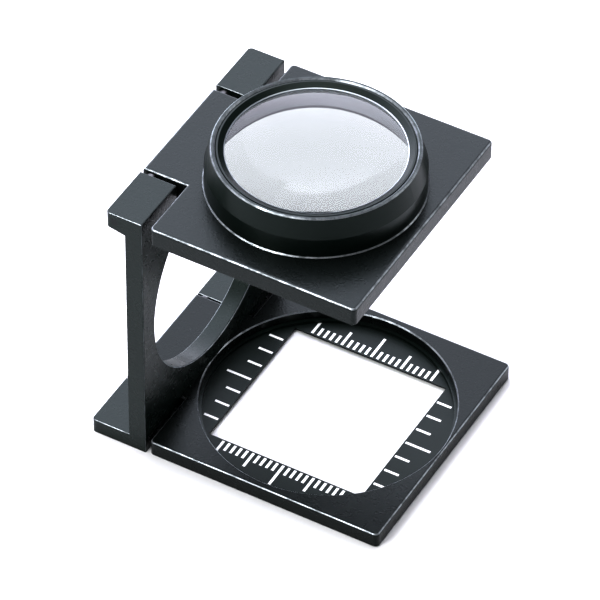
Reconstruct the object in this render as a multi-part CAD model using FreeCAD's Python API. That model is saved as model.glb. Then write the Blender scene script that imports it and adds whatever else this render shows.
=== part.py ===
"""Folding hand lens (linen tester): base with a one-inch scale window, upright, and lens plate.

Frame: millimetres. +Z is up and +X is the way the base and the lens plate point from the
upright. The origin is the middle of the footprint, at the level the base rests on.
"""
import FreeCAD, Part
import math
import os

# ---- driving dimensions, mm -------------------------------------------------------------
WIDTH = 40.2                    # all three plates, along Y
HEIGHT = 45.0                   # underside of the base to the top of the lens plate
BASE_THICKNESS = 2.6
UPRIGHT_THICKNESS = 2.75
LENS_PLATE_THICKNESS = 3.2
BASE_REACH = 38.3               # front face of the upright to the front edge of the base
LENS_PLATE_REACH = 34.0         # front face of the upright to the front edge of the lens plate
FOOT_REACH = 9.15               # front face of the upright to the back of the feet
EAR_REACH = 5.9                 # front face of the upright to the back of the ears
CORNER_RADIUS = 0.7             # upright corners of the plates' outlines

# lower hinge: the upright's two feet hold the tongue of the base
FOOT_THICKNESS = 2.4
LOWER_TONGUE_WIDTH = 19.9
LOWER_SIDE_GAP = 0.35
LOWER_SHOULDER_GAP = 0.6
LOWER_AXIS_BACK = 7.85          # behind the front face of the upright
LOWER_AXIS_Z = BASE_THICKNESS / 2

# upper hinge: the upright's two ears hold the tongue of the lens plate
EAR_THICKNESS_BACK = 2.6
EAR_THICKNESS_FRONT = 3.2
UPPER_TONGUE_WIDTH = 19.5
UPPER_SIDE_GAP = 0.8
UPPER_SHOULDER_GAP = 1.2
UPPER_AXIS_BACK = 4.5
UPPER_AXIS_Z = HEIGHT - 1.45

PIN_RADIUS = 0.6
PIN_CLEARANCE = 0.05            # round the pin, in the tongue that turns on it
PIN_LENGTH = 14.5
PIN_HOLE_END_GAP = 0.5
WASHER_RADIUS = 1.05
WASHER_PLAY = 0.1               # left between a washer and the tongue

# scale window in the base
INCH = 25.4
RECESS_REACH = 18.9             # front face of the upright to the middle of the window
RECESS_RADIUS = 18.9
LEDGE_HEIGHT = 0.3
LEDGE_RADIUS = 18.15
SCALE_THICKNESS = 0.3
SCALE_CLEARANCE = 0.05
SNAP_RING_SECTION = 0.5
RECESS_CHAMFER = 0.18
MARK_WIDTH = 0.42
MARK_DEPTH = 0.08
MARK_EDGE_GAP = 0.25            # window edge to the start of each mark
MM_MARK_LENGTHS = (1.65, 3.0, 4.3)      # every mark, every fifth, the middle one
EIGHTH_MARK_LENGTHS = (2.35, 4.05)      # every mark, the middle one

# lens, barrel and rings; heights are measured from the top of the lens plate
BARREL_REACH = 16.5             # front face of the upright to the lens's axis
SPIGOT_RADIUS = 14.6
BEAD_RADIUS = 16.0
DRUM_RADIUS = 15.75
RIM_RADIUS = 14.9
BEAD_HEIGHT = 0.35
DRUM_HEIGHT = 3.4
RIM_HEIGHT = 6.6
BORE_RADIUS = 13.85
THREAD_RADIUS = 14.15
SPIGOT_CLEARANCE = 0.02
LENS_RADIUS = 13.8
LENS_RIM_HEIGHT = 3.65          # lower edge of the glass's rim
LENS_EDGE = 1.85
LENS_TOP_CURVE = 43.0
LENS_BOTTOM_CURVE = 154.0
SEAT_RING_BORE = 13.3
SEAT_RING_FOOT = -1.85
CLEAR_RADIUS = 12.87            # glass that the retaining ring leaves open
RETAINER_TOP = 6.45
RETAINER_LAND = 0.26            # width of the retaining ring's flat top
RIM_LAND = 0.28                 # width of the barrel's flat top
RIM_BEVEL = 0.2

# round window of the upright, which the barrel enters when the lens plate is folded
UPRIGHT_WINDOW_RADIUS = 17.0

PLATE_EDGE = 0.45
BASE_EDGE = 0.38
UPRIGHT_EDGE = 0.2

# ---- places worked out from them --------------------------------------------------------
HALF = WIDTH / 2
FACE_X = (FOOT_REACH - BASE_REACH) / 2
BACK_X = FACE_X - UPRIGHT_THICKNESS
FOOT_X = FACE_X - FOOT_REACH
EAR_X = FACE_X - EAR_REACH
BASE_FRONT_X = FACE_X + BASE_REACH
LENS_PLATE_FRONT_X = FACE_X + LENS_PLATE_REACH
LENS_PLATE_Z = HEIGHT - LENS_PLATE_THICKNESS
LOWER_AXIS_X = FACE_X - LOWER_AXIS_BACK
UPPER_AXIS_X = FACE_X - UPPER_AXIS_BACK
SCALE_X = FACE_X + RECESS_REACH
SCALE_TOP_Z = LEDGE_HEIGHT + SCALE_THICKNESS
LENS_X = FACE_X + BARREL_REACH
UPRIGHT_WINDOW_Z = UPPER_AXIS_Z - (LENS_X - UPPER_AXIS_X)
EAR_INNER_Y = UPPER_TONGUE_WIDTH / 2 + UPPER_SIDE_GAP
FOOT_INNER_Y = LOWER_TONGUE_WIDTH / 2 + LOWER_SIDE_GAP

UP = FreeCAD.Vector(0, 0, 1)
ALONG_X = FreeCAD.Vector(1, 0, 0)
ALONG_Y = FreeCAD.Vector(0, 1, 0)


# ---- building blocks --------------------------------------------------------------------
def block(x_range, y_range, z_range):
    size = [high - low for low, high in (x_range, y_range, z_range)]
    corner = FreeCAD.Vector(x_range[0], y_range[0], z_range[0])
    return Part.makeBox(*size, corner)


def disc(radius, x, z_range, y=0.0):
    """Upright cylinder about (x, y)."""
    base = FreeCAD.Vector(x, y, z_range[0])
    return Part.makeCylinder(radius, z_range[1] - z_range[0], base, UP)


def rod(radius, x, z, y_range):
    """Cylinder along Y about (x, z)."""
    base = FreeCAD.Vector(x, y_range[0], z)
    return Part.makeCylinder(radius, y_range[1] - y_range[0], base, ALONG_Y)


def outline_prism(points, y_range):
    """Straight-sided prism along Y, from (x, z) corners."""
    corners = [FreeCAD.Vector(x, y_range[0], z) for x, z in points]
    face = Part.Face(Part.makePolygon(corners + corners[:1]))
    return face.extrude(FreeCAD.Vector(0, y_range[1] - y_range[0], 0))


def turned(profile):
    """Solid of revolution about the lens's axis, from (radius, height) corners."""
    corners = [FreeCAD.Vector(LENS_X + radius, 0, HEIGHT + height) for radius, height in profile]
    face = Part.Face(Part.makePolygon(corners + corners[:1]))
    return face.revolve(FreeCAD.Vector(LENS_X, 0, 0), UP, 360)


def edges_where(shape, wanted):
    """Edges whose bounding box passes the test."""
    return [edge for edge in shape.Edges if wanted(edge.BoundBox)]


def vertical(box):
    return box.ZLength > 1 and box.XLength < 0.01 and box.YLength < 0.01


def level_at(z):
    """Test for edges that lie flat at one height."""
    return lambda box: abs(box.ZMin - z) < 0.01 and abs(box.ZMax - z) < 0.01


def both_sides(y_range):
    """The same stretch of Y on the right (-Y) and on the left (+Y)."""
    low, high = y_range
    return (("right", (-high, -low)), ("left", (low, high)))


def save(name, shape):
    solids = shape.Solids
    whole = solids[0] if len(solids) == 1 else Part.makeCompound(solids)
    whole.exportStep(os.path.join("parts", name + ".step"))


# ---- hinged plates ----------------------------------------------------------------------
def hinged_plate(x_range, levels, tongue_x, tongue_half, edge):
    """Plate with a tongue at the back, rounded corners and top edges, and a chamfered underside."""
    plate = block(x_range, (-HALF, HALF), levels)
    tongue = block((tongue_x, x_range[0] + 1), (-tongue_half, tongue_half), levels)
    shape = plate.fuse(tongue).removeSplitter()
    outer_corners = edges_where(shape, lambda box: vertical(box) and abs(box.YMin) > HALF - 0.1)
    shape = shape.makeFillet(CORNER_RADIUS, outer_corners)
    shape = shape.makeFillet(edge, edges_where(shape, level_at(levels[1])))
    return shape.makeChamfer(edge / 2, edges_where(shape, level_at(levels[0])))


def pin_holes(tongue_half, x, z):
    """Blind holes for the two pins in the sides of a tongue, with a gap past each pin's end."""
    depth = PIN_LENGTH - (HALF - tongue_half) + PIN_HOLE_END_GAP
    radius = PIN_RADIUS + PIN_CLEARANCE
    return [rod(radius, x, z, y_range) for _, y_range in both_sides((tongue_half - depth, tongue_half))]


# ---- base and scale ---------------------------------------------------------------------
def base_plate():
    """Plate with a round recess that holds the scale."""
    x_range = (FACE_X + LOWER_SHOULDER_GAP, BASE_FRONT_X)
    tongue_half = LOWER_TONGUE_WIDTH / 2
    shape = hinged_plate(x_range, (0, BASE_THICKNESS), FOOT_X, tongue_half, BASE_EDGE)
    recess = disc(RECESS_RADIUS, SCALE_X, (LEDGE_HEIGHT, BASE_THICKNESS + 1))
    opening = disc(LEDGE_RADIUS, SCALE_X, (-1, BASE_THICKNESS))
    rim_level = FreeCAD.Vector(SCALE_X, 0, BASE_THICKNESS - RECESS_CHAMFER)
    rim = Part.makeCone(RECESS_RADIUS, RECESS_RADIUS + 2 * RECESS_CHAMFER, 2 * RECESS_CHAMFER, rim_level, UP)
    shape = shape.cut(recess).cut(opening).cut(rim)
    return shape.cut(pin_holes(tongue_half, LOWER_AXIS_X, LOWER_AXIS_Z))


def scale_disc(z_range):
    """Disc of the scale plate with its one-inch square window."""
    window = (-INCH / 2, INCH / 2)
    hole = block((SCALE_X + window[0], SCALE_X + window[1]), window, (-1, BASE_THICKNESS))
    return disc(RECESS_RADIUS - SCALE_CLEARANCE, SCALE_X, z_range).cut(hole)


def mark(along, length, side, runs_along_x):
    """One graduation: its middle is `along` the edge, and it points away from the window."""
    start = INCH / 2 + MARK_EDGE_GAP
    reach = sorted((side * start, side * (start + length)))
    stretch = (along - MARK_WIDTH / 2, along + MARK_WIDTH / 2)
    depth = (SCALE_TOP_Z - MARK_DEPTH, SCALE_TOP_Z)
    x_range, y_range = (stretch, reach) if runs_along_x else (reach, stretch)
    return block((SCALE_X + x_range[0], SCALE_X + x_range[1]), y_range, depth)


def millimetre_length(step):
    if step == 0:
        return MM_MARK_LENGTHS[2]
    return MM_MARK_LENGTHS[1] if step % 5 == 0 else MM_MARK_LENGTHS[0]


def mark_groups():
    """Millimetre marks on the sides and eighth-inch marks at front and back, by node name."""
    groups = {}
    inside_ring = disc(RECESS_RADIUS - SNAP_RING_SECTION - 0.05, SCALE_X, (0, BASE_THICKNESS))
    for name, side in (("right", -1), ("left", 1)):
        marks = [mark(step, millimetre_length(step), side, True) for step in range(-10, 11)]
        groups["millimetre_marks_" + name] = [one.common(inside_ring) for one in marks]
    for name, side in (("rear", -1), ("front", 1)):
        marks = []
        for step in range(-3, 4):
            length = EIGHTH_MARK_LENGTHS[1] if step == 0 else EIGHTH_MARK_LENGTHS[0]
            marks.append(mark(step * INCH / 8, length, side, False))
        groups["eighth_inch_marks_" + name] = [one.common(inside_ring) for one in marks]
    return groups


def scale_plate(groups):
    """Thin etched plate: the marks' paint fills shallow grooves in its top."""
    shape = scale_disc((LEDGE_HEIGHT, SCALE_TOP_Z))
    for marks in groups.values():
        shape = shape.cut(marks)
    return shape


def scale_snap_ring():
    """Square-section ring that holds the scale plate down on its ledge."""
    levels = (SCALE_TOP_Z, SCALE_TOP_Z + SNAP_RING_SECTION)
    outer = disc(RECESS_RADIUS, SCALE_X, levels)
    return outer.cut(disc(RECESS_RADIUS - SNAP_RING_SECTION, SCALE_X, levels))


# ---- upright ----------------------------------------------------------------------------
def ear(y_range):
    """Lug at the top of the upright, thinner towards its back end."""
    corners = [
        (EAR_X, HEIGHT),
        (BACK_X, HEIGHT),
        (BACK_X, HEIGHT - EAR_THICKNESS_FRONT),
        (EAR_X, HEIGHT - EAR_THICKNESS_BACK),
    ]
    return outline_prism(corners, y_range)


def upright_frame():
    """Upright with its round window, the two ears at the top and the two feet at the bottom."""
    shape = block((BACK_X, FACE_X), (-HALF, HALF), (0, HEIGHT))
    for _, y_range in both_sides((EAR_INNER_Y, HALF)):
        shape = shape.fuse(ear(y_range))
    for _, y_range in both_sides((FOOT_INNER_Y, HALF)):
        shape = shape.fuse(block((FOOT_X, BACK_X), y_range, (0, FOOT_THICKNESS)))
    through = (BACK_X - 1, FACE_X + 1)
    upper_notch = block(through, (-EAR_INNER_Y, EAR_INNER_Y), (LENS_PLATE_Z, HEIGHT + 1))
    lower_notch = block(through, (-FOOT_INNER_Y, FOOT_INNER_Y), (-1, BASE_THICKNESS))
    shape = shape.cut(upper_notch).cut(lower_notch).removeSplitter()
    back_corners = edges_where(
        shape,
        lambda box: vertical(box) and abs(box.YMin) > HALF - 0.1 and box.XMax < BACK_X - 1,
    )
    shape = shape.makeFillet(CORNER_RADIUS, back_corners)
    front_sides = edges_where(
        shape,
        lambda box: vertical(box) and box.XMin > FACE_X - 0.1 and box.ZLength > HEIGHT / 2,
    )
    shape = shape.makeFillet(UPRIGHT_EDGE, front_sides + edges_where(shape, level_at(HEIGHT)))
    foot_tops = edges_where(shape, lambda box: level_at(FOOT_THICKNESS)(box) and box.XMin < BACK_X - 1)
    shape = shape.makeFillet(UPRIGHT_EDGE, foot_tops)
    middle = FreeCAD.Vector(BACK_X - 1, 0, UPRIGHT_WINDOW_Z)
    window = Part.makeCylinder(UPRIGHT_WINDOW_RADIUS, UPRIGHT_THICKNESS + 2, middle, ALONG_X)
    shape = shape.cut(window)
    window_rims = edges_where(
        shape,
        lambda box: box.XLength < 0.01 and box.YLength > 2 * UPRIGHT_WINDOW_RADIUS - 1,
    )
    window_rims = [edge for edge in window_rims if isinstance(edge.Curve, Part.Circle)]
    shape = shape.makeFillet(UPRIGHT_EDGE, window_rims)
    for _, y_range in both_sides((EAR_INNER_Y, HALF)):
        shape = shape.cut(rod(PIN_RADIUS, UPPER_AXIS_X, UPPER_AXIS_Z, y_range))
    for _, y_range in both_sides((FOOT_INNER_Y, HALF)):
        shape = shape.cut(rod(PIN_RADIUS, LOWER_AXIS_X, LOWER_AXIS_Z, y_range))
    return shape


# ---- lens plate and optics --------------------------------------------------------------
def lens_plate():
    """Plate with a round hole for the barrel."""
    x_range = (FACE_X + UPPER_SHOULDER_GAP, LENS_PLATE_FRONT_X)
    tongue_half = UPPER_TONGUE_WIDTH / 2
    shape = hinged_plate(x_range, (LENS_PLATE_Z, HEIGHT), EAR_X, tongue_half, PLATE_EDGE)
    shape = shape.cut(disc(SPIGOT_RADIUS, LENS_X, (LENS_PLATE_Z - 1, HEIGHT + 1)))
    return shape.cut(pin_holes(tongue_half, UPPER_AXIS_X, UPPER_AXIS_Z))


def sagitta(curve, radius):
    """Depth of a sphere's cap of this radius."""
    return curve - math.sqrt(curve ** 2 - radius ** 2)


def glass_top(radius=0.0):
    """Height of the lens's upper face at this distance from its axis."""
    crown = LENS_RIM_HEIGHT + LENS_EDGE + sagitta(LENS_TOP_CURVE, LENS_RADIUS)
    return crown - sagitta(LENS_TOP_CURVE, radius)


def glass_bottom(radius=0.0):
    """Height of the lens's lower face at this distance from its axis."""
    lowest = LENS_RIM_HEIGHT - sagitta(LENS_BOTTOM_CURVE, LENS_RADIUS)
    return lowest + sagitta(LENS_BOTTOM_CURVE, radius)


def lens_barrel():
    """Turned barrel: bead on the plate, drum, cone to the rim, and a spigot through the plate."""
    spigot = SPIGOT_RADIUS - SPIGOT_CLEARANCE
    seat = glass_bottom(SEAT_RING_BORE)
    land = RIM_RADIUS - RIM_BEVEL - RIM_LAND
    return turned([
        (spigot, -LENS_PLATE_THICKNESS),
        (spigot, 0),
        (BEAD_RADIUS, 0),
        (BEAD_RADIUS, BEAD_HEIGHT / 2),
        (BEAD_RADIUS - BEAD_HEIGHT / 2, BEAD_HEIGHT),
        (DRUM_RADIUS, BEAD_HEIGHT),
        (DRUM_RADIUS, DRUM_HEIGHT),
        (RIM_RADIUS, RIM_HEIGHT - RIM_BEVEL),
        (RIM_RADIUS - RIM_BEVEL, RIM_HEIGHT),
        (land, RIM_HEIGHT),
        (THREAD_RADIUS, RIM_HEIGHT + THREAD_RADIUS - land),
        (THREAD_RADIUS, seat),
        (BORE_RADIUS, seat),
        (BORE_RADIUS, -LENS_PLATE_THICKNESS),
    ])


def lens_seat_ring():
    """Plain ring pressed into the barrel's bore, which the lens rests on."""
    seat = glass_bottom(SEAT_RING_BORE)
    return turned([
        (SEAT_RING_BORE, SEAT_RING_FOOT),
        (BORE_RADIUS, SEAT_RING_FOOT),
        (BORE_RADIUS, seat),
        (SEAT_RING_BORE, seat),
    ])


def magnifying_lens():
    """Convex lens with the stronger curve on top."""
    def ball(curve, middle_height):
        return Part.makeSphere(curve, FreeCAD.Vector(LENS_X, 0, HEIGHT + middle_height))

    blank = disc(LENS_RADIUS, LENS_X, (HEIGHT + glass_bottom() - 1, HEIGHT + glass_top() + 1))
    shape = blank.common(ball(LENS_TOP_CURVE, glass_top() - LENS_TOP_CURVE))
    return shape.common(ball(LENS_BOTTOM_CURVE, glass_bottom() + LENS_BOTTOM_CURVE))


def lens_retaining_ring():
    """Threaded ring over the lens's edge, with a cone down to the glass."""
    foot = glass_top(CLEAR_RADIUS)
    land = THREAD_RADIUS - RIM_BEVEL / 2
    return turned([
        (CLEAR_RADIUS, foot),
        (THREAD_RADIUS, foot),
        (THREAD_RADIUS, RETAINER_TOP - RIM_BEVEL),
        (land, RETAINER_TOP),
        (land - RETAINER_LAND, RETAINER_TOP),
        (CLEAR_RADIUS, foot + RIM_BEVEL / 2),
    ])


# ---- hinge pins and washers -------------------------------------------------------------
def hinge_hardware():
    """Pins pressed in from the sides, and a washer on each between lug and tongue."""
    pieces = {}
    hinges = (
        ("upper", UPPER_AXIS_X, UPPER_AXIS_Z, EAR_INNER_Y, UPPER_TONGUE_WIDTH / 2),
        ("lower", LOWER_AXIS_X, LOWER_AXIS_Z, FOOT_INNER_Y, LOWER_TONGUE_WIDTH / 2),
    )
    for hinge, x, z, lug_y, tongue_half in hinges:
        for side, y_range in both_sides((HALF - PIN_LENGTH, HALF)):
            pieces[hinge + "_hinge_pin_" + side] = rod(PIN_RADIUS, x, z, y_range)
        for side, y_range in both_sides((tongue_half + WASHER_PLAY, lug_y)):
            hole = rod(PIN_RADIUS + PIN_CLEARANCE, x, z, y_range)
            washer = rod(WASHER_RADIUS, x, z, y_range).cut(hole)
            pieces[hinge + "_hinge_washer_" + side] = washer
    return pieces


def main():
    os.makedirs("parts", exist_ok=True)
    groups = mark_groups()
    pieces = {
        "base_plate": base_plate(),
        "scale_plate": scale_plate(groups),
        "scale_snap_ring": scale_snap_ring(),
        "upright_frame": upright_frame(),
        "lens_plate": lens_plate(),
        "lens_barrel": lens_barrel(),
        "lens_seat_ring": lens_seat_ring(),
        "magnifying_lens": magnifying_lens(),
        "lens_retaining_ring": lens_retaining_ring(),
    }
    pieces.update({name: Part.makeCompound(marks) for name, marks in groups.items()})
    pieces.update(hinge_hardware())
    for name, shape in pieces.items():
        save(name, shape)
        state = "valid" if shape.isValid() else "NOT VALID"
        print(name, state, "solids", len(shape.Solids), "volume %.2f" % shape.Volume)


main()
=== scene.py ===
import math

import bmesh
import bpy
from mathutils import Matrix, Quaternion, Vector


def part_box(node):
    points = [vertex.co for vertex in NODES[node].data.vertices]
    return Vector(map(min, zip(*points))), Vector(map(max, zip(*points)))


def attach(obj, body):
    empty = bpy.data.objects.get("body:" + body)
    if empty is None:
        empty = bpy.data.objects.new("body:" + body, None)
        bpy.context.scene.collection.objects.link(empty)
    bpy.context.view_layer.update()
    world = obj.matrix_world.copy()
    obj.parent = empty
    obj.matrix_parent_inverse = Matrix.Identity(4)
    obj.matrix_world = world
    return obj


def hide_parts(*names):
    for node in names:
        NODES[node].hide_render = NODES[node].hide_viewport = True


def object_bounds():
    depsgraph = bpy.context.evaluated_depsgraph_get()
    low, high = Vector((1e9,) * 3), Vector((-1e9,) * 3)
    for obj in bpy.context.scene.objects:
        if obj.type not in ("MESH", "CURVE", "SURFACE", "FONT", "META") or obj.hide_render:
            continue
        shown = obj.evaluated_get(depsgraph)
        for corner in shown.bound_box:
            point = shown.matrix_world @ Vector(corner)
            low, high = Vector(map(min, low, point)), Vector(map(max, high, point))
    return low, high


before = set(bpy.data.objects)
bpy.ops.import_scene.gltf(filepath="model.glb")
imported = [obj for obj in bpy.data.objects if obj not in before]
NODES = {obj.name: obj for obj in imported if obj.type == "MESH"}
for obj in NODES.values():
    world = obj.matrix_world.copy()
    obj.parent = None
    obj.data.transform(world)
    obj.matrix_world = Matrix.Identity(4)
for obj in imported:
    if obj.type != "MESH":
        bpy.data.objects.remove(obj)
CAD_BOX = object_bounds()

# Lengths are in metres. The object stands on the floor at z = 0.
MM = 0.001


# ---------------------------------------------------------------- camera

# Angles are in degrees, and the focal length is in millimetres.
CAMERA_AZIMUTH = 29.316
CAMERA_ELEVATION = 43.952
CAMERA_ROLL = 0.501
CAMERA_DISTANCE = 785.45 * MM
CAMERA_LENS = 329.8
NEAR_CLIP = 0.01
FAR_CLIP = 20.0
AIM = Vector((0.684, -2.092, 23.0)) * MM


def direction(azimuth, elevation):
    """Unit vector from the object towards a point seen at these angles, in degrees."""
    a = math.radians(azimuth)
    e = math.radians(elevation)
    return Vector((math.sin(a) * math.cos(e), -math.cos(a) * math.cos(e), math.sin(e)))


def make_camera():
    back = direction(CAMERA_AZIMUTH, CAMERA_ELEVATION)
    data = bpy.data.cameras.new("camera")
    data.lens = CAMERA_LENS
    data.clip_start = NEAR_CLIP
    data.clip_end = FAR_CLIP
    camera = bpy.data.objects.new("camera", data)
    bpy.context.scene.collection.objects.link(camera)
    camera.location = AIM + back * CAMERA_DISTANCE
    camera.rotation_mode = "QUATERNION"
    level = (-back).to_track_quat("-Z", "Y")
    camera.rotation_quaternion = Quaternion(back, math.radians(CAMERA_ROLL)) @ level
    bpy.context.scene.camera = camera


# ---------------------------------------------------------------- node helpers

# Sockets of a Mix node, which have the same names for numbers and for colours.
MIX_SHARE = 0
MIX_VALUES = (2, 3)
MIX_COLOURS = (6, 7)
MIX_COLOUR_OUT = 2


def new_material(name):
    """An empty node material and its tree."""
    material = bpy.data.materials.new(name)
    material.use_nodes = True
    material.node_tree.nodes.clear()
    return material, material.node_tree


def node(tree, kind, inputs=None, **settings):
    """A node with its settings and inputs. An input is a value or a socket to link."""
    made = tree.nodes.new("ShaderNode" + kind)
    for key, value in settings.items():
        setattr(made, key, value)
    for key, value in (inputs or {}).items():
        if isinstance(value, bpy.types.NodeSocket):
            tree.links.new(value, made.inputs[key])
        else:
            made.inputs[key].default_value = value
    return made


def calc(tree, operation, first, second):
    return node(tree, "Math", {0: first, 1: second}, operation=operation).outputs[0]


def vector_calc(tree, operation, first, second):
    return node(tree, "VectorMath", {0: first, 1: second}, operation=operation).outputs[0]


def length(tree, vector):
    return node(tree, "VectorMath", {0: vector}, operation="LENGTH").outputs["Value"]


def parts_of(tree, vector):
    """The X, Y and Z parts of a vector."""
    return node(tree, "SeparateXYZ", {0: vector}).outputs


def product(tree, *values):
    result = values[0]
    for value in values[1:]:
        result = calc(tree, "MULTIPLY", result, value)
    return result


def noise(tree, vector, size, detail=3.0, roughness=0.5, distortion=0.0):
    """Smooth noise with features of about this size."""
    inputs = {"Vector": vector, "Scale": 1.0 / size, "Detail": detail}
    inputs.update({"Roughness": roughness, "Distortion": distortion})
    return node(tree, "TexNoise", inputs).outputs["Fac"]


def spread(tree, value, low, high, to_low=0.0, to_high=1.0):
    """Stretches low..high onto to_low..to_high, smoothly at both ends."""
    inputs = {"Value": value, "From Min": low, "From Max": high}
    inputs.update({"To Min": to_low, "To Max": to_high})
    return node(tree, "MapRange", inputs, interpolation_type="SMOOTHSTEP").outputs[0]


def blend_colours(tree, share, first, second):
    inputs = {MIX_SHARE: share, MIX_COLOURS[0]: first, MIX_COLOURS[1]: second}
    return node(tree, "Mix", inputs, data_type="RGBA").outputs[MIX_COLOUR_OUT]


def blend_values(tree, share, first, second):
    inputs = {MIX_SHARE: share, MIX_VALUES[0]: first, MIX_VALUES[1]: second}
    return node(tree, "Mix", inputs).outputs[0]


def bump(tree, height, distance, strength, under=None):
    """Normal of a surface raised by height times distance."""
    inputs = {"Height": height, "Distance": distance, "Strength": strength}
    if under is not None:
        inputs["Normal"] = under
    return node(tree, "Bump", inputs).outputs[0]


def principled(tree, inputs):
    return node(tree, "BsdfPrincipled", inputs).outputs[0]


def finish_surface(tree, shader):
    node(tree, "OutputMaterial", {"Surface": shader})


def shade(value, tint):
    """A colour of this lightness and tint."""
    return (value * tint[0], value * tint[1], value * tint[2], 1.0)


def object_place(tree):
    return node(tree, "TexCoord").outputs["Object"]


def object_normal(tree):
    """The X, Y and Z parts of the surface's normal."""
    return parts_of(tree, node(tree, "TexCoord").outputs["Normal"])


# Brings the highest value of n * n * (1 - n * n) up to 1.
HALFWAY_GAIN = 4.0


def halfway(tree, part):
    """1 where the normal is midway between this axis and square to it, 0 at both ends.

    That marks the middle of an edge rounding between a face across the axis and any wall along it.
    """
    square = product(tree, part, part)
    return product(tree, square, calc(tree, "SUBTRACT", 1.0, square), HALFWAY_GAIN)


def both_parts(tree, first, second):
    """1 in the middle of a rounding between the faces across these two axes, 0 on both faces."""
    both = product(tree, first, second)
    return product(tree, both, both, HALFWAY_GAIN)


def around(tree, centre):
    """Coordinates about an upright line: local place, (radius, height), radius and height."""
    local = vector_calc(tree, "SUBTRACT", object_place(tree), (centre.x, centre.y, 0.0))
    x, y, height = parts_of(tree, local)
    radius = length(tree, node(tree, "CombineXYZ", {0: x, 1: y}).outputs[0])
    section = node(tree, "CombineXYZ", {0: radius, 1: height}).outputs[0]
    return local, section, radius, height


# ---------------------------------------------------------------- materials

BARE_METAL = (0.4, 0.43, 0.46, 1.0)
WORN_ROUGHNESS = 0.4
COAT_TINT = (0.87, 1.0, 0.97)
COAT_IOR = 1.33

# Tints of the black coats and metals, multiplied by how light each is.
COOL = (0.75, 1.15, 1.1)
GREEN = (0.6, 1.3, 1.05)
PALE_LILAC = (1.0, 1.0, 1.1)
NEUTRAL = (1.0, 1.0, 1.02)

MOTTLING = 0.2                  # how far a mottled colour drifts to either side of its base
ROLLING = (1.0, 12.0, 1.0)      # stretches noise into lines along X
WINDOW_RADIUS = 17.3 * MM       # round window of the upright, with its edge rounding
OUTLINE_WEAR = 0.6              # wear of the upright's outline, against its window's
LAND_WEAR = 0.1                 # wear of the barrel's flat rim, against its edges'


def black_coat(tree, inputs, gleam=1.0):
    """Shader of a thin black coating with its faint green cast. Gleam scales what it reflects."""
    tint = shade(gleam, COAT_TINT)
    return principled(tree, {**inputs, "IOR": COAT_IOR, "Specular Tint": tint})


def rubbing(tree, place, size, least):
    """Uneven rubbing, from least to 1."""
    patches = noise(tree, place, size, detail=5, roughness=0.65)
    return spread(tree, patches, low=0.36, high=0.64, to_low=least)


def mottled(tree, place, size, base, tint):
    """A colour that drifts slowly between a little darker and a little lighter than base."""
    cloud = noise(tree, place, size, detail=4)
    dark = shade(base * (1.0 - MOTTLING), tint)
    light = shade(base * (1.0 + MOTTLING), tint)
    return blend_colours(tree, cloud, dark, light)


def upright_edges(tree, place, window_middle):
    """Edges of the upright that wear.

    Those of its front and back wear in full around the round window and less elsewhere. Those
    that run from front to back wear in full.
    """
    forward, sideways, upward = object_normal(tree)
    from_window = vector_calc(tree, "SUBTRACT", place, window_middle)
    distance = length(tree, vector_calc(tree, "MULTIPLY", from_window, (0, 1, 1)))
    outside = calc(tree, "GREATER_THAN", distance, WINDOW_RADIUS)
    wear = blend_values(tree, outside, 1.0, OUTLINE_WEAR)
    front_and_back = product(tree, halfway(tree, forward), wear)
    through = product(tree, both_parts(tree, sideways, upward), outside)
    return calc(tree, "MAXIMUM", front_and_back, through)


def cast_enamel(name, base, tint, window_middle=None, gleam=1.0):
    """Satin black stove enamel on a die-cast plate.

    It has a fine pebble, an uneven gloss, and edges worn to bare metal. The upright is given the
    middle of its round window. The other plates wear where a level face meets a wall.
    """
    material, tree = new_material(name)
    place = object_place(tree)
    pebble = noise(tree, place, size=0.32 * MM, detail=2)
    grain = noise(tree, place, size=0.09 * MM, detail=2)
    tool_marks = noise(tree, place, size=1.6 * MM, detail=3, distortion=0.6)

    if window_middle:
        edge = upright_edges(tree, place, window_middle)
    else:
        edge = halfway(tree, object_normal(tree)[2])
    worn = spread(tree, edge, low=0.35, high=1.0)
    worn = product(tree, worn, rubbing(tree, place, size=1.6 * MM, least=0.35))

    paint = mottled(tree, place, 9 * MM, base, tint)
    flecks = spread(tree, grain, low=0.55, high=0.8)
    fleck_colour = shade(base * 2.0, tint)
    paint = blend_colours(tree, flecks, paint, fleck_colour)
    colour = blend_colours(tree, worn, paint, BARE_METAL)
    rough = blend_values(tree, tool_marks, 0.22, 0.34)
    rough = blend_values(tree, worn, rough, WORN_ROUGHNESS)

    surface = bump(tree, pebble, distance=0.03 * MM, strength=0.8)
    surface = bump(tree, grain, distance=0.006 * MM, strength=0.6, under=surface)
    inputs = {"Base Color": colour, "Roughness": rough, "Metallic": worn, "Normal": surface}
    finish_surface(tree, black_coat(tree, inputs, gleam))
    return material


def turned_wear(tree, local, radius, height, wear_from, land, lip):
    """Worn parts of a turned piece, as turned_metal describes them."""
    worn = spread(tree, halfway(tree, object_normal(tree)[2]), low=0.6, high=1.0)
    if land is not None:
        on_land = product(tree, calc(tree, "GREATER_THAN", height, land), LAND_WEAR)
        worn = calc(tree, "MAXIMUM", worn, on_land)
    worn = product(tree, worn, rubbing(tree, local, size=1.3 * MM, least=0.35))
    worn = product(tree, worn, calc(tree, "GREATER_THAN", radius, wear_from))
    if lip is not None:
        worn = calc(tree, "MAXIMUM", worn, calc(tree, "LESS_THAN", radius, lip))
    return worn


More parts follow.
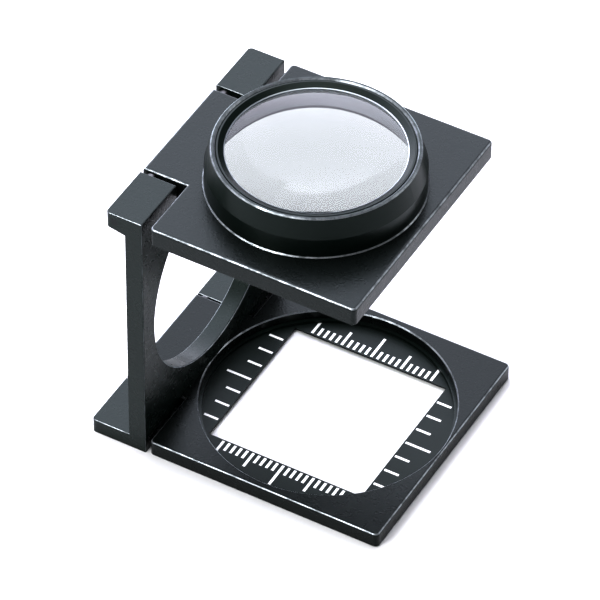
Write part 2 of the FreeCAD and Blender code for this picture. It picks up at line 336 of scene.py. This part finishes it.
def turned_metal(name, centre, base, tint, gloss, line,
                 metal=0.0, wear_from=None, land=None, lip=None):
    """A turned ring or tube: fine circular tool lines of this size and uneven gloss.

    Level edges further out than wear_from are worn, everything higher than land is lightly worn,
    and everything nearer the axis than lip is bare. Metal is for a piece without wear.
    """
    material, tree = new_material(name)
    local, section, radius, height = around(tree, centre)
    lines = noise(tree, section, line, detail=4, roughness=0.7)
    grain = noise(tree, local, size=0.12 * MM, detail=2)

    colour = mottled(tree, local, 6 * MM, base, tint)
    scratches = spread(tree, lines, low=0.58, high=0.75, to_high=0.35)
    scratch_colour = shade(base * 1.9, tint)
    colour = blend_colours(tree, scratches, colour, scratch_colour)
    rough = blend_values(tree, lines, gloss - 0.06, gloss + 0.08)
    if wear_from is not None:
        metal = turned_wear(tree, local, radius, height, wear_from, land, lip)
        colour = blend_colours(tree, metal, colour, BARE_METAL)
        rough = blend_values(tree, metal, rough, WORN_ROUGHNESS)

    surface = bump(tree, lines, distance=0.01 * MM, strength=0.7)
    surface = bump(tree, grain, distance=0.005 * MM, strength=0.5, under=surface)
    inputs = {"Base Color": colour, "Roughness": rough, "Metallic": metal, "Normal": surface}
    finish_surface(tree, black_coat(tree, inputs))
    return material


def etched_black(name, base, tint):
    """Matt black scale plate with a fine even grain and faint rolling lines."""
    material, tree = new_material(name)
    place = object_place(tree)
    grain = noise(tree, place, size=0.15 * MM, detail=3)
    stretched = node(tree, "Mapping", {"Vector": place, "Scale": ROLLING}).outputs[0]
    rolled = noise(tree, stretched, size=3 * MM, detail=4)
    colour = mottled(tree, place, 7 * MM, base, tint)
    flecks = spread(tree, grain, low=0.5, high=0.8)
    fleck_colour = shade(base * 1.8, tint)
    colour = blend_colours(tree, flecks, colour, fleck_colour)
    rough = blend_values(tree, rolled, 0.34, 0.48)
    surface = bump(tree, grain, distance=0.006 * MM, strength=0.6)
    inputs = {"Base Color": colour, "Roughness": rough, "Normal": surface}
    finish_surface(tree, black_coat(tree, inputs, gleam=0.75))
    return material


def white_filling(name):
    """White enamel in the etched marks: slightly uneven, a little dirty, with a soft gloss."""
    clean = (0.9, 0.91, 0.9, 1.0)
    dirty = (0.6, 0.61, 0.61, 1.0)
    material, tree = new_material(name)
    place = object_place(tree)
    dirt = noise(tree, place, size=0.8 * MM, detail=5, roughness=0.6)
    ripple = noise(tree, place, size=0.12 * MM, detail=2)
    colour = blend_colours(tree, spread(tree, dirt, low=0.5, high=0.8), clean, dirty)
    rough = blend_values(tree, ripple, 0.35, 0.55)
    surface = bump(tree, ripple, distance=0.008 * MM, strength=0.5)
    inputs = {"Base Color": colour, "Roughness": rough, "Normal": surface}
    finish_surface(tree, principled(tree, inputs))
    return material


def clear_glass(name):
    """Polished crown glass with a faint uneven film. Shadow rays pass straight through it."""
    material, tree = new_material(name)
    film = noise(tree, object_place(tree), size=5 * MM, detail=4)
    inputs = {
        # The grey Base Color is painted shade: it dims the brightly lit floor seen through the
        # lens, which clear glass would show near white.
        "Base Color": (0.345, 0.362, 0.345, 1.0),
        "Roughness": spread(tree, film, low=0.45, high=0.75, to_high=0.012),
        "IOR": 1.52,
        "Specular Tint": (0.05, 0.05, 0.055, 1.0),
        "Transmission Weight": 1.0,
    }
    glass = principled(tree, inputs)
    through = node(tree, "BsdfTransparent", {"Color": (0.93, 0.95, 0.95, 1.0)}).outputs[0]
    shadow = node(tree, "LightPath").outputs["Is Shadow Ray"]
    mixed = node(tree, "MixShader", {0: shadow, 1: glass, 2: through})
    finish_surface(tree, mixed.outputs[0])
    return material


def ground_glass(name):
    """Frosted rim of the lens, left matt from grinding."""
    dark = (0.5, 0.52, 0.56, 1.0)
    light = (0.68, 0.7, 0.74, 1.0)
    material, tree = new_material(name)
    grain = noise(tree, object_place(tree), size=0.1 * MM, detail=3)
    colour = blend_colours(tree, grain, dark, light)
    rough = blend_values(tree, grain, 0.55, 0.75)
    surface = bump(tree, grain, distance=0.01 * MM, strength=0.6)
    inputs = {"Base Color": colour, "Roughness": rough, "Normal": surface}
    finish_surface(tree, principled(tree, inputs))
    return material


def pale_floor(name):
    """Plain pale paper sweep."""
    dark = (0.74, 0.745, 0.75, 1.0)
    light = (0.78, 0.78, 0.785, 1.0)
    material, tree = new_material(name)
    fibre = noise(tree, object_place(tree), size=0.6 * MM, detail=3)
    colour = blend_colours(tree, fibre, dark, light)
    finish_surface(tree, principled(tree, {"Base Color": colour, "Roughness": 0.85}))
    return material


# ---------------------------------------------------------------- lens

LENS_RADIUS = 13.8 * MM
LENS_TOP_CURVE = 43.0 * MM
LENS_BOTTOM_CURVE = 154.0 * MM
LENS_SIDES = 160
LENS_RINGS = 24
LENS_SHARP_ANGLE = 35           # degrees between faces that meet in a sharp edge
RIM_SLOPE = 0.2                 # the upward part of the normal stays under this on the rim


def sagitta(curve, radius):
    """Depth of a sphere's cap of this radius."""
    return curve - math.sqrt(curve ** 2 - radius ** 2)


def cap_profile(curve, sign, edge_height, radius):
    """Points (r, z) of a spherical face from the middle out to radius, at edge_height there."""
    points = []
    for step in range(LENS_RINGS + 1):
        r = radius * step / LENS_RINGS
        rise = sagitta(curve, radius) - sagitta(curve, r)
        points.append((r, edge_height + sign * rise))
    return points


def revolve(name, centre, profile, sides):
    """A smooth closed mesh: (r, z) points turned about an upright line that both ends lie on."""
    mesh = bmesh.new()
    rings = []
    for r, z in profile:
        if r == 0.0:
            rings.append([mesh.verts.new((centre.x, centre.y, z))])
            continue
        ring = []
        for side in range(sides):
            turn = 2 * math.pi * side / sides
            x = centre.x + r * math.cos(turn)
            y = centre.y + r * math.sin(turn)
            ring.append(mesh.verts.new((x, y, z)))
        rings.append(ring)
    for inner, outer in zip(rings, rings[1:]):
        for side in range(sides):
            after = (side + 1) % sides
            corners = [inner[side % len(inner)], inner[after % len(inner)]]
            corners += [outer[after % len(outer)], outer[side % len(outer)]]
            mesh.faces.new(list(dict.fromkeys(corners)))
    bmesh.ops.recalc_face_normals(mesh, faces=mesh.faces)
    for face in mesh.faces:
        face.smooth = True
    data = bpy.data.meshes.new(name)
    mesh.to_mesh(data)
    mesh.free()
    piece = bpy.data.objects.new(name, data)
    bpy.context.scene.collection.objects.link(piece)
    return piece


def make_lens(polished, ground):
    """Smooth lens in place of the CAD one, with its two faces polished and its rim ground."""
    low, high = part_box("magnifying_lens")
    centre = (low + high) / 2
    edge_top = high.z - sagitta(LENS_TOP_CURVE, LENS_RADIUS)
    edge_bottom = low.z + sagitta(LENS_BOTTOM_CURVE, LENS_RADIUS)
    top = cap_profile(LENS_TOP_CURVE, 1, edge_top, LENS_RADIUS)
    bottom = cap_profile(LENS_BOTTOM_CURVE, -1, edge_bottom, LENS_RADIUS)
    piece = revolve("lens_glass", centre, top + bottom[::-1], LENS_SIDES)
    piece.data.materials.append(polished)
    piece.data.materials.append(ground)
    for face in piece.data.polygons:
        rim = abs(face.normal.z) < RIM_SLOPE
        face.material_index = 1 if rim else 0
    piece.data.set_sharp_from_angle(angle=math.radians(LENS_SHARP_ANGLE))
    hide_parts("magnifying_lens")
    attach(piece, "lens_plate")


# ---------------------------------------------------------------- floor and lights

FLOOR_HALF = 3.0                # half of the floor's side
FLOOR_GAP = 0.02 * MM           # keeps the floor clear of the underside of the object
WHITE = (1.0, 1.0, 1.0)
WORLD_COLOUR = (0.93, 0.95, 1.0, 1.0)
WORLD_BRIGHTNESS = 0.04
VIEW_GAMMA = 0.75


def make_floor():
    data = bpy.data.meshes.new("floor")
    corners = [(-FLOOR_HALF, -FLOOR_HALF, 0), (FLOOR_HALF, -FLOOR_HALF, 0)]
    corners += [(FLOOR_HALF, FLOOR_HALF, 0), (-FLOOR_HALF, FLOOR_HALF, 0)]
    data.from_pydata(corners, [], [(0, 1, 2, 3)])
    floor = bpy.data.objects.new("floor", data)
    bpy.context.scene.collection.objects.link(floor)
    data.materials.append(pale_floor("paper"))
    floor.location.z = -FLOOR_GAP


def soft_light(name, azimuth, elevation, distance, size, brightness, colour=WHITE):
    """A square area light that faces the object from this side. Brightness is its surface's."""
    data = bpy.data.lights.new(name, "AREA")
    data.shape = "SQUARE"
    data.size = size
    data.energy = brightness * math.pi * size ** 2
    data.color = colour
    light = bpy.data.objects.new(name, data)
    bpy.context.scene.collection.objects.link(light)
    low, high = CAD_BOX
    side = direction(azimuth, elevation)
    light.location = (low + high) / 2 + side * distance
    light.rotation_mode = "QUATERNION"
    light.rotation_quaternion = (-side).to_track_quat("-Z", "Y")


def make_light():
    soft_light("top_softbox", azimuth=0, elevation=88, distance=0.9, size=0.7, brightness=3.6)
    # The glass mirrors this one, so it is large enough to keep its edges out of the glass.
    soft_light("rear_softbox", azimuth=224, elevation=42, distance=0.9, size=1.35,
               brightness=5.2, colour=(1.01, 1.0, 1.15))
    soft_light("front_light", azimuth=-22, elevation=40, distance=1.0, size=0.3, brightness=30)
    soft_light("left_card", azimuth=-70, elevation=35, distance=1.0, size=0.5, brightness=1.6)
    soft_light("right_card", azimuth=122, elevation=12, distance=1.0, size=0.6, brightness=2.2)


def make_world():
    world = bpy.data.worlds.new("studio")
    world.use_nodes = True
    background = world.node_tree.nodes["Background"]
    background.inputs["Color"].default_value = WORLD_COLOUR
    background.inputs["Strength"].default_value = WORLD_BRIGHTNESS
    bpy.context.scene.world = world
    view = bpy.context.scene.view_settings
    view.view_transform = "Standard"
    view.gamma = VIEW_GAMMA


# ---------------------------------------------------------------- the object

LAND_DEPTH = 0.04 * MM          # the barrel's flat rim is all that is this close to its top


def clothe(names, material):
    for name in names:
        piece = NODES[name]
        piece.data.materials.clear()
        piece.data.materials.append(material)


def middle_of(name):
    low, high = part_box(name)
    return (low + high) / 2


def nodes_with(word):
    return [name for name in NODES if word in name]


def dress_plates():
    window_middle = tuple(middle_of("upright_frame"))
    clothe(["lens_plate"], cast_enamel("plate_enamel", base=0.005, tint=COOL))
    # The base plate wears a darker, less reflective copy of the plate enamel: painted shade for
    # the lower level, which takes less light.
    clothe(["base_plate"], cast_enamel("base_enamel_painted_shade", base=0.004, tint=COOL, gleam=0.74))
    clothe(["upright_frame"], cast_enamel("upright_enamel", 0.006, GREEN, window_middle))
    clothe(["scale_plate"], etched_black("scale_black", base=0.005, tint=GREEN))
    clothe(nodes_with("_marks_"), white_filling("white_enamel"))


def dress_turned_pieces():
    lens_axis = middle_of("lens_barrel")
    scale_axis = middle_of("scale_plate")
    rim_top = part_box("lens_barrel")[1].z - LAND_DEPTH
    barrel = turned_metal("barrel_black", lens_axis, base=0.006, tint=GREEN, gloss=0.3,
                          line=0.16 * MM, wear_from=14.2 * MM, land=rim_top)
    retainer = turned_metal("retaining_ring_black", lens_axis, base=0.005, tint=GREEN, gloss=0.28,
                            line=0.1 * MM, wear_from=13.8 * MM, lip=13.0 * MM)
    seat = turned_metal("bare_aluminium", lens_axis, base=0.42, tint=PALE_LILAC, gloss=0.7,
                        line=0.12 * MM, metal=0.3)
    snap_ring = turned_metal("snap_ring_black", scale_axis, base=0.006, tint=GREEN, gloss=0.3,
                             line=0.1 * MM, wear_from=0.0)
    clothe(["lens_barrel"], barrel)
    clothe(["lens_retaining_ring"], retainer)
    clothe(["lens_seat_ring"], seat)
    clothe(["scale_snap_ring"], snap_ring)


def dress_hinges():
    middle = Vector((0, 0, 0))
    pin_steel = turned_metal("pin_steel", middle, base=0.03, tint=NEUTRAL, gloss=0.3,
                             line=0.1 * MM, metal=1.0)
    washer_steel = turned_metal("washer_steel", middle, base=0.09, tint=NEUTRAL, gloss=0.35,
                                line=0.1 * MM, metal=1.0)
    clothe(nodes_with("_pin_"), pin_steel)
    clothe(nodes_with("_washer_"), washer_steel)


make_camera()
dress_plates()
dress_turned_pieces()
dress_hinges()
make_lens(clear_glass("optical_glass"), ground_glass("ground_edge"))
make_floor()
make_light()
make_world()
